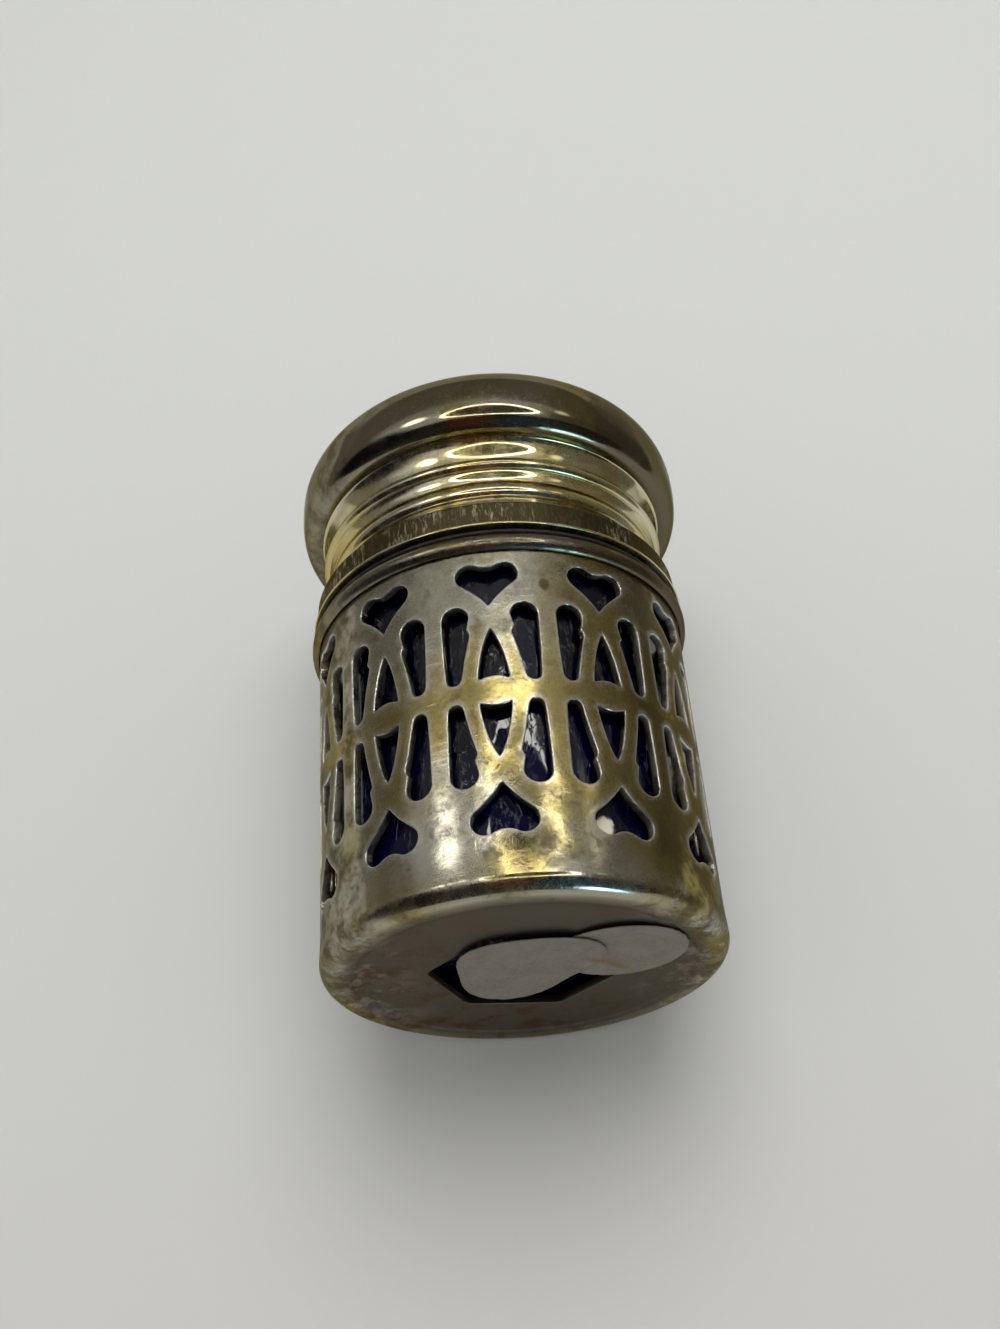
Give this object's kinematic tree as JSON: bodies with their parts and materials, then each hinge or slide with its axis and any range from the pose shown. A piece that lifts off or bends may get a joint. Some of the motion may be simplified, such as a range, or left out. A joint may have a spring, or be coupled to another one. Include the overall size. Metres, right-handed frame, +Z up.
{
  "type": "salt shaker",
  "caption": "Cylindrical salt shaker: a pierced silver-plated holder, a blue glass liner with a threaded neck and a ringed, bun-shaped screw lid with sprinkle holes.",
  "frame": {"origin": "centre of the foot's underside, on the common axis", "axes": "+Z up along the common axis from the foot to the crown of the lid; a column of hearts faces -Y"},
  "size_m": [0.0438, 0.0438, 0.0648],
  "materials": {
    "silver_plate": "worn silver plate, warm grey with yellow-brown tarnish",
    "cobalt_glass": "glossy deep cobalt blue glass",
    "brass": "dull unplated brass",
    "cork": "matte cork"
  },
  "bodies": {
    "holder": {"holder_sleeve": "silver_plate", "rim_bead": "silver_plate"},
    "liner": {"glass_liner": "cobalt_glass"},
    "washer": {"lid_washer": "cork"},
    "lid": {"screw_ring": "brass", "lid_collar": "silver_plate", "lid_dome": "silver_plate"}
  },
  "joints": [
    {"name": "liner_lift", "type": "slide", "parent": "holder", "child": "liner", "axis": [0, 0, 1], "range_m": [0, 0.045]},
    {"name": "lid_rise", "type": "slide", "parent": "liner", "child": "washer", "axis": [0, 0, 1], "range_m": [0, 0.0064]},
    {"name": "lid_turn", "type": "hinge", "parent": "washer", "child": "lid", "pos_m": [0, 0, 0.0475], "axis": [0, 0, 1], "range_deg": [0, 630]}
  ],
  "couplings": [
    {"joint": "lid_rise", "follows": "lid_turn", "m_per_rad": 0.00057296}
  ]
}
